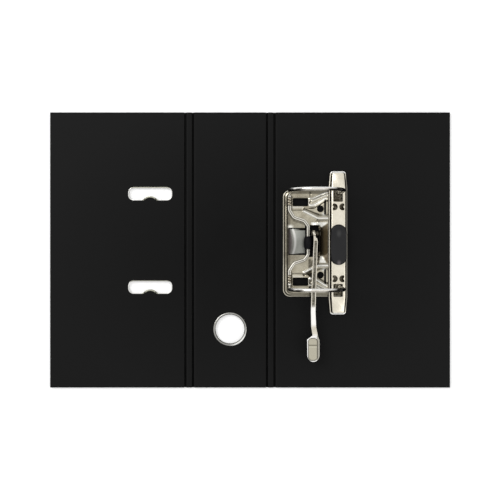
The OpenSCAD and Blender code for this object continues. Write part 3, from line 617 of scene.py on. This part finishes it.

# Collars: low steel rings round the feet of the posts, pressed up out of the plate. Their tops
# carry painted shade, from the compressor bar above them.
collar_r, collar_h = 3.2, 1.5
for side, name in ((1, "upper"), (-1, "lower")):
    shape = bmesh.new()
    bmesh.ops.create_cone(shape, cap_ends=True, segments=48, radius1=collar_r * mm,
                          radius2=collar_r * mm, depth=collar_h * mm)
    rim = [e for e in shape.edges if all(v.co.z > 0 for v in e.verts)]
    bmesh.ops.bevel(shape, geom=rim, offset=0.5 * mm, segments=4, profile=0.5,
                    affect="EDGES", material=-1)
    bmesh.ops.translate(shape, verts=shape.verts,
                        vec=seat + Vector((post_u, side * arch_v, 1.54)) * mm)
    collar = new_piece("post_collar_" + name, shape)
    under_bar_shade = [0.85 if vert.normal.z > 0.9 else 0 for vert in collar.data.vertices]
    collar.data.attributes.new("painted_shade", "FLOAT", "POINT").data.foreach_set("value", under_bar_shade)
    smooth(collar, 40)
    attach(collar, "rear_cover")
    dress(collar, plate_nickel)

# Rivets: two tubular steel rivets, lacquered black, which clamp the plate to the rear cover.
# The lacquer is thin and a little uneven.
lacquer = mottled("black-lacquered rivet steel", 0.5, 4.0, "#020203", "#080808", 0.35, 0.06)
dress(rounded_copy("mounting_rivets", "mounting_rivets_headed", 0.15 * mm), lacquer)

# Arch wire: one length of 3 mm drawn steel wire, nickel plated and bent cold to both arches, their
# hinge runs in the loops and the crank between them. Its upper side has a painted highlight, and
# painted dark lines where it turns away from the light.
wire_nickel = nickel("nickel-plated drawn wire", "#F4F1EA", "#CFC8BA", 0.1, pit_mm=0.5)
tree = wire_nickel.node_tree
parts = add_node(tree, "SeparateXYZ", {0: tree.nodes["Mapping"]})
facing = add_node(tree, "SeparateXYZ", {0: add_node(tree, "TexCoord").outputs["Normal"]})
# Low down, on the crank: a pale matte white standing in for its highlight, with a painted dark
# line along the top and painted shade on the flanks.
flat = add_node(tree, "MapRange", {"Value": parts.outputs["Z"], "From Min": 16, "From Max": 12})
centre = add_node(tree, "MapRange", {"Value": facing.outputs["Z"], "From Min": 0.92,
                                     "From Max": 0.985, "To Max": 0.85})
painted_flank_shade = add_node(tree, "MapRange", {"Value": facing.outputs["Z"], "From Min": 0.8,
                                    "From Max": 0.45, "To Max": 0.95})
painted_dark_lines = add_node(tree, "Math", {0: centre, 1: painted_flank_shade}, operation="MAXIMUM")
painted_dark_lines = add_node(tree, "Math", {0: painted_dark_lines, 1: flat}, operation="MULTIPLY")
tint(wire_nickel, flat, "#FFFBEE", matte=0.8)
tint(wire_nickel, painted_dark_lines, "#3A342A")
# High up, on the arches, painted shade: a dark stripe at both ends of each, a black bend and a
# black tip.
near_leg = add_node(tree, "MapRange", {"Value": parts.outputs["X"], "From Min": 61,
                                       "From Max": 56})
near_post = add_node(tree, "MapRange", {"Value": parts.outputs["X"], "From Min": 75,
                                        "From Max": 80})
ends = add_node(tree, "Math", {0: near_leg, 1: near_post}, operation="MAXIMUM")
below = add_node(tree, "MapRange", {"Value": facing.outputs["Y"], "From Min": 0.15,
                                    "From Max": -0.15})
raised = add_node(tree, "MapRange", {"Value": parts.outputs["Z"], "From Min": 18, "From Max": 24})
painted_arch_shade = add_node(tree, "Math", {0: ends, 1: below}, operation="MULTIPLY")
tip = add_node(tree, "MapRange", {"Value": parts.outputs["X"], "From Min": 82.5, "From Max": 86.5})
painted_arch_shade = add_node(tree, "Math", {0: painted_arch_shade, 1: tip}, operation="MAXIMUM")
bend = add_node(tree, "MapRange", {"Value": parts.outputs["X"], "From Min": 51.5, "From Max": 48.5,
                                   "To Max": 0.9})
painted_arch_shade = add_node(tree, "Math", {0: painted_arch_shade, 1: bend}, operation="MAXIMUM")
upward = add_node(tree, "MapRange", {"Value": facing.outputs["Z"], "From Min": 0.02,
                                     "From Max": 0.3})
upward = add_node(tree, "Math", {0: upward, 1: raised}, operation="MULTIPLY")
painted_arch_shade = add_node(tree, "Math", {0: painted_arch_shade, 1: upward}, operation="MULTIPLY")
tint(wire_nickel, painted_arch_shade, "#17130E")
# Their upper sides have a painted highlight between the bend and the tip.
above = add_node(tree, "MapRange", {"Value": facing.outputs["Y"], "From Min": 0.1,
                                    "From Max": 0.4})
painted_light_side = add_node(tree, "Math", {0: above, 1: raised}, operation="MULTIPLY")
off_tip = add_node(tree, "Math", {0: tip, 1: bend}, operation="MAXIMUM")
off_tip = add_node(tree, "Math", {0: 1.0, 1: off_tip}, operation="SUBTRACT")
painted_light_side = add_node(tree, "Math", {0: painted_light_side, 1: off_tip}, operation="MULTIPLY")
tint(wire_nickel, painted_light_side, "#FFFEFA", matte=0.5)


def bent_line(corners, bends):
    """The centre line of a wire through its corners, with a bend radius for each inner one."""
    line = [corners[0]]
    for before, here, after, bend in zip(corners, corners[1:], corners[2:], bends):
        along, onward = (here - before).normalized(), (after - here).normalized()
        turn = along.angle(onward)
        inward = (onward - onward.dot(along) * along).normalized()
        centre = here - bend * tan(turn / 2) * along + bend * inward
        steps = max(4, round(turn / radians(5)))
        line += [centre + bend * (sin(turn * at / steps) * along
                                  - cos(turn * at / steps) * inward)
                 for at in range(steps + 1)]
    return line + [corners[-1]]


# Its corners, from the tip of the upper arch to the middle of the crank.
wire_r, tip_w, top_w = 1.5, 47.39, 68.39
half_wire = [Vector(place) for place in (
    (post_u, arch_v, tip_w), (post_u, arch_v, top_w), (2.9, arch_v, top_w),
    (hinge_u, arch_v, hinge_w), (hinge_u, 25.6, hinge_w), (9.1, 19.6, hinge_w),
    (18.1, 16.6, hinge_w), (21.3, 12.1, hinge_w))]
half_bends = [19.5, 19.5, 3, 5, 4, 4, 4]
line = bent_line(half_wire + [Vector((u, -v, w)) for u, v, w in reversed(half_wire)],
                 half_bends + half_bends[::-1])
shape = bmesh.new()
around, across, rings = 32, Vector((1, 0, 0)), []
for at, place in enumerate(line):
    ahead = (line[min(at + 1, len(line) - 1)] - line[max(at - 1, 0)]).normalized()
    across = (across - across.dot(ahead) * ahead).normalized()
    beside = ahead.cross(across)
    rings.append([shape.verts.new(place + wire_r * (cos(2 * pi * n / around) * across
                                                    + sin(2 * pi * n / around) * beside))
                  for n in range(around)])
for one, other in zip(rings, rings[1:]):
    for n in range(around):
        shape.faces.new((one[n - 1], one[n], other[n], other[n - 1]))
for end in (rings[0], rings[-1]):
    shape.faces.new(end)
bmesh.ops.recalc_face_normals(shape, faces=shape.faces)
bmesh.ops.scale(shape, verts=shape.verts, vec=(mm, mm, mm))
bmesh.ops.translate(shape, verts=shape.verts, vec=seat)
wire = new_piece("arch_wire_drawn", shape)
smooth(wire, 40)
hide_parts("arch_wire")
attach(wire, "arches")
dress(wire, wire_nickel)

# Posts: two turned steel pins, riveted into the plate through their collars. Each has a fine
# groove near its foot, and a rounded top that the arch's tip meets.
post_nickel = nickel("nickel-plated post steel", "#CFC9BC", "#A09887", 0.14, pit_mm=0.5)
tree = post_nickel.node_tree
# Painted shade on the side of each post that faces -X.
facing = add_node(tree, "SeparateXYZ", {0: add_node(tree, "TexCoord").outputs["Normal"]})
away = add_node(tree, "MapRange", {"Value": facing.outputs["X"], "From Min": 0.2, "From Max": -0.4,
                                   "To Max": 0.6})
tint(post_nickel, away, "#2B251B")
for place in ("upper", "lower"):
    low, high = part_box("post_" + place)
    r, tall = (high.x - low.x) / 2 / mm, (high.z - low.z) / mm
    outline = [(0, 0), (r - 0.3, 0), (r - 0.3, 2.3), (r - 0.15, 2.3), (r, 2.45), (r, 3.2),
               (r - 0.12, 3.3), (r - 0.12, 3.5), (r, 3.6), (r, tall - 1.3), (r - 0.05, tall - 1.1),
               (r - 0.4, tall - 0.3), (r - 0.55, tall - 0.08), (r - 0.75, tall), (0, tall)]
    post = new_piece("post_turned_" + place, spun([(x, 0, z) for x, z in outline], (0, 0, 1)))
    post.data.transform(Matrix.Translation(((low.x + high.x) / 2, (low.y + high.y) / 2, low.z))
                        @ Matrix.Scale(mm, 4))
    smooth(post, 35)
    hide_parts("post_" + place)
    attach(post, "rear_cover")
    dress(post, post_nickel)

# Roller: a barrel moulded in black acetal, which turns on the crank and carries the lever's
# push. It is matt from rubbing.
acetal = mottled("moulded black acetal", 0.25, 3.0, "#060609", "#0C0B10", 0.6, 0.13)
dress(rounded_copy("crank_roller", "crank_roller_moulded", 0.3 * mm, least=40), acetal)

# Lever and its rivet: a channel pressed from strip, with a dished handle. Its bottom has mottled
# painted shade, and its bare neck a painted highlight.
lever_nickel = nickel("nickel-plated lever steel", "#E9E4D6", "#C9C2B2", 0.17, cloud_mm=5.0)
tree = lever_nickel.node_tree
parts = add_node(tree, "SeparateXYZ", {0: tree.nodes["Mapping"]})
# Mottled painted shade on the floor of the channel.
deep = add_node(tree, "MapRange", {"Value": parts.outputs["Z"], "From Min": 14.6,
                                   "From Max": 14.2})
channel = add_node(tree, "MapRange", {"Value": parts.outputs["Y"], "From Min": -70,
                                      "From Max": -68})
deep = add_node(tree, "Math", {0: deep, 1: channel}, operation="MULTIPLY")
blotch = add_node(tree, "TexNoise", {"Vector": tree.nodes["Mapping"], "Scale": 1 / 1.6,
                                     "Detail": 3.0})
patchy = add_node(tree, "MapRange", {"Value": blotch, "From Min": 0.3, "From Max": 0.62,
                                     "To Min": 1.0, "To Max": 0.7})
painted_channel_shade = add_node(tree, "Math", {0: deep, 1: patchy}, operation="MULTIPLY")
tint(lever_nickel, painted_channel_shade, "#3D3A2E")
# The handle: a painted highlight on its rim, painted shade on its panel with painted dark and pale
# lines across it, and painted shade on its right side.
at_handle = add_node(tree, "MapRange", {"Value": parts.outputs["Y"], "From Min": -70.5,
                                        "From Max": -73})
corner = add_node(tree, "VectorMath", {0: tree.nodes["Mapping"], 1: (70.35, -84, 0)},
                  operation="SUBTRACT")
corner = add_node(tree, "VectorMath", {0: corner}, operation="ABSOLUTE")
corner = add_node(tree, "VectorMath", {0: corner, 1: (0.9, 6.4, 0)}, operation="SUBTRACT")
corner = add_node(tree, "VectorMath", {0: corner, 1: (0, 0, 0)}, operation="MAXIMUM")
corner = add_node(tree, "VectorMath", {0: corner, 1: (1, 1, 0)}, operation="MULTIPLY")
edge_off = add_node(tree, "VectorMath", {0: corner}, operation="LENGTH")
paler_tone = add_node(tree, "MapRange", {"Value": edge_off, "From Min": 3.0, "From Max": 3.3})
paler_tone = add_node(tree, "Math", {0: paler_tone, 1: at_handle}, operation="MULTIPLY")
tint(lever_nickel, paler_tone, "#FFFEFA", matte=0.5)
panel = add_node(tree, "MapRange", {"Value": edge_off, "From Min": 2.6, "From Max": 2.4})
panel = add_node(tree, "Math", {0: panel, 1: at_handle}, operation="MULTIPLY")
tint(lever_nickel, panel, "#B9B4A2")
painted_side_shade = add_node(tree, "MapRange", {"Value": parts.outputs["X"], "From Min": 73.4,
                                        "From Max": 73.9, "To Max": 0.8})
painted_side_shade = add_node(tree, "Math", {0: painted_side_shade, 1: at_handle}, operation="MULTIPLY")
tint(lever_nickel, painted_side_shade, "#938E7D", matte=0.3)
for at, half, colour, where in ((2.9, 0.5, "#4C483C", edge_off),
                                (-80.5, 0.5, "#565244", parts.outputs["Y"]),
                                (-82.1, 0.5, "#C6C2B0", parts.outputs["Y"])):
    off = distance_from(tree, where, at)
    line = add_node(tree, "MapRange", {"Value": off, "From Min": half, "From Max": half / 2,
                                       "To Max": 0.85})
    line = add_node(tree, "Math", {0: line, 1: at_handle if at > 0 else panel},
                    operation="MULTIPLY")
    tint(lever_nickel, line, colour)
# The neck, with a painted highlight.
near = distance_from(tree, parts.outputs["Y"], -56.0)
painted_bright = add_node(tree, "MapRange", {"Value": near, "From Min": 9.5, "From Max": 6.5})
tint(lever_nickel, painted_bright, "#FFFDF8")
lever = rounded_copy("lever", "lever_stamped", 0.3 * mm)
# Its plan swells and bends a little: at each place along it stand the share of the width that
# is kept, and where its middle was and is.
spots = places_of(lever)
along = [-84, -78, -74, -71.8, -62, -46, -21, -10, 0.2, 4.9, 8.2, 11, 15.7]
width = np.interp(spots[:, 1] / mm, along, [0.92, 0.92, 0.95, 1, 0.86, 0.84, 0.92, 0.95, 0.875,
                                            0.8, 0.74, 0.56, 0.56])
middle = np.interp(spots[:, 1] / mm, along, [70.7, 70.7, 71.9, 72.65, 71.3, 71.15, 71.6, 72,
                                             72.4, 72.3, 72.2, 72, 72])
moved = np.interp(spots[:, 1] / mm, along, [70.7, 70.7, 71.7, 72.35, 70.8, 70.7, 71.3, 71.9,
                                            72.35, 72.5, 72.5, 72, 71.3])
spots[:, 0] = (moved + (spots[:, 0] / mm - middle) * width) * mm
lever.data.vertices.foreach_set("co", spots.ravel())
dress(lever, lever_nickel)
pin_steel = nickel("oiled pin steel", "#5A564C", "#37332B", 0.3, pit_mm=0.5)
dress(rounded_copy("lever_rivet", "lever_rivet_headed", 0.2 * mm), pin_steel)

# Leaf spring: a strip of hardened steel, with painted shade on its slope, a painted highlight
# across its bowed crest, dull grey from there to the roller, and painted shade along its edges
# there.
spring = nickel("hardened spring steel", "#94958F", "#7F807A", 0.5)
tree = spring.node_tree
parts = add_node(tree, "SeparateXYZ", {0: tree.nodes["Mapping"]})
across = add_node(tree, "Math", {0: parts.outputs["Y"], 1: 7.0}, operation="SUBTRACT")
bow = add_node(tree, "Math", {0: across, 1: across}, operation="MULTIPLY")
bowed = add_node(tree, "Math", {0: bow, 1: 0.019, 2: parts.outputs["X"]}, operation="MULTIPLY_ADD")
painted_leaf_shade = add_node(tree, "MapRange", {"Value": bowed, "From Min": 55.6, "From Max": 52.4})
tint(spring, painted_leaf_shade, "#4D4846")
off = distance_from(tree, bowed, 55.9)
painted_highlight = add_node(tree, "MapRange", {"Value": off, "From Min": 1.3, "From Max": 0.4})
tint(spring, painted_highlight, "#AFAEAA")
low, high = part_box("leaf_spring")
half = (high.y - low.y) / 2 / mm
aside = add_node(tree, "Math", {0: across}, operation="ABSOLUTE")
side = add_node(tree, "MapRange", {"Value": aside, "From Min": half - 1.3, "From Max": half - 0.8})
right = add_node(tree, "MapRange", {"Value": parts.outputs["X"], "From Min": 54, "From Max": 60})
side = add_node(tree, "Math", {0: side, 1: right}, operation="MULTIPLY")
tint(spring, side, "#15120F")
dress(rounded_copy("leaf_spring", "leaf_spring_bent", 0.08 * mm), spring)

# Compressor bar: a long inverted tray pressed from sheet, with steep sides, gently sloping
# ends, holes for the posts and two pairs of crescents.
bar_low, bar_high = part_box("compressor_bar")
middle = (bar_low + bar_high) / 2
half_w, half_l, taper = 8.2, 61.2, 14
shape = bmesh.new()
left = 0.75 - half_w
plan = [(left, -half_l + taper), (left + 1.2, -half_l), (half_w - 1.5, -half_l),
        (half_w, -half_l + taper), (half_w, half_l - taper), (half_w - 1.5, half_l),
        (left + 1.2, half_l), (left, half_l - taper)]
shape.faces.new([shape.verts.new((x, y, 0)) for x, y in plan])
tips = [v for v in shape.verts if abs(v.co.y) > half_l - 1]
bmesh.ops.bevel(shape, geom=tips, offset=2.1, segments=6, profile=0.5, affect="VERTICES",
                material=-1)
cap = shape.faces[:][0]
# The tray rises in steps, each with its lift and how much narrower and shorter it gets.
for lift, narrower, shorter in ((0.55, 0, 0), (0.1, 0.6, 0.45), (1.5, 0.5, 0.1), (1.6, 0.55, 0.15),
                                (0.6, 0.3, 0.5), (0.25, 0.35, 0.9)):
    grown = bmesh.ops.extrude_face_region(shape, geom=[cap])["geom"]
    bmesh.ops.delete(shape, geom=[cap], context="FACES_ONLY")
    cap = [f for f in grown if isinstance(f, bmesh.types.BMFace)][0]
    loop = list(cap.verts)
    width = max(v.co.x for v in loop)
    length = max(v.co.y for v in loop)
    bmesh.ops.scale(shape, verts=loop, vec=((width - narrower) / width,
                                            (length - shorter) / length, 1))
    bmesh.ops.translate(shape, verts=loop, vec=(0, 0, lift))
bmesh.ops.recalc_face_normals(shape, faces=shape.faces)
bar = new_piece("compressor_bar_pressed", shape)
wall = bar.modifiers.new("sheet", "SOLIDIFY")
wall.thickness, wall.offset = sheet, -1
holes = bmesh.new()
moon_r = 2.95
for side in (-1, 1):
    prism(holes, (-4.05, side * 40.5 - 5.5), (4.05, side * 40.5 + 5.5), 0.8)
    for turn in (-1, 1):
        moon = bmesh.new()
        prism(moon, (-moon_r, -moon_r), (moon_r, moon_r), moon_r - 0.001, 16)
        bite = new_piece("bite", moon)
        for low, high, corner in (((-2.8, -1.1), (-0.6, 1.1), 1.09), ((-6, -6), (-1.4, 6), 0.1)):
            taken = bmesh.new()
            prism(taken, low, high, corner)
            cut_with(bite, taken)
        bite.data.transform(Matrix.Translation((turn * -3.6 + 0.35, side * 30.6, 0))
                            @ Matrix.Rotation(0 if turn > 0 else pi, 4, "Z"))
        holes.from_mesh(bite.data)
        bpy.data.objects.remove(bite)
cut_with(bar, holes)
bar.data.transform(Matrix.Translation((middle.x, middle.y, bar_low.z)) @ Matrix.Scale(mm, 4))
smooth(bar, 50)
bar_nickel = nickel("nickel-plated bar steel", "#E9E3D3", "#D6CFBE", 0.32, pit_mm=0.5)
tree = bar_nickel.node_tree
# Painted shade on the steep sides and along the right edge, and a painted highlight at the tips.
facing = add_node(tree, "SeparateXYZ", {0: add_node(tree, "TexCoord").outputs["Normal"]})
side_on = add_node(tree, "Math", {0: facing.outputs["X"]}, operation="ABSOLUTE")
painted_slope_shade = add_node(tree, "MapRange", {"Value": side_on, "From Min": 0.45, "From Max": 0.7,
                                    "To Max": 0.9})
tint(bar_nickel, painted_slope_shade, "#2C2820")
parts = add_node(tree, "SeparateXYZ", {0: tree.nodes["Mapping"]})
painted_edge_shade = add_node(tree, "MapRange", {"Value": parts.outputs["X"], "To Max": 0.85,
                                  "From Min": middle.x / mm + 6.6,
                                  "From Max": middle.x / mm + 7.1})
tint(bar_nickel, painted_edge_shade, "#5A5853")
along = distance_from(tree, parts.outputs["Y"], middle.y / mm)
painted_tip_highlight = add_node(tree, "MapRange", {"Value": along, "From Min": half_l - 1.9,
                                      "From Max": half_l - 1.4})
tint(bar_nickel, painted_tip_highlight, "#FFFEFA", matte=0.6)
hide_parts("compressor_bar")
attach(bar, "bar")
dress(bar, bar_nickel)

# Grip: a pad moulded in black ABS, dished for the fingers and held on the bar by two pegs. It is
# satin, with a painted sheen where the dish turns up at each end.
abs_black = mottled("moulded black ABS", 1 / 3, 3.0, "#141415", "#1D1D1F", 0.38, 0.25)
tree = abs_black.node_tree
gloss = add_node(tree, "MapRange", {"Value": tree.nodes["Noise Texture"], "To Min": 0.32,
                                    "To Max": 0.44})
feed(tree.nodes["Principled BSDF"], {"Roughness": gloss})
grip_low, grip_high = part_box("bar_grip")
middle = (grip_low + grip_high) / 2
for place, colour, round_mm in ((9.5, "#383838", 4.5), (-16, "#5C5658", 4.0)):
    sheen_centre = (middle.x / mm + 0.5, middle.y / mm + place, 0)
    away = add_node(tree, "VectorMath", {0: tree.nodes["Mapping"], 1: sheen_centre}, operation="SUBTRACT")
    away = add_node(tree, "VectorMath", {0: away, 1: (1.5, 1, 0)}, operation="MULTIPLY")
    away = add_node(tree, "VectorMath", {0: away}, operation="LENGTH")
    painted_sheen = add_node(tree, "MapRange", {"Value": away, "From Min": round_mm, "From Max": 0.0},
                     interpolation_type="SMOOTHSTEP")
    tint(abs_black, painted_sheen, colour)
grip = rounded_copy("bar_grip", "bar_grip_moulded", 0.6 * mm, segments=4)
wider, to_right = 0.05, 0.4
for vert in grip.data.vertices:
    vert.co.x += to_right * mm + (vert.co.x - middle.x) * wider
dress(grip, abs_black)
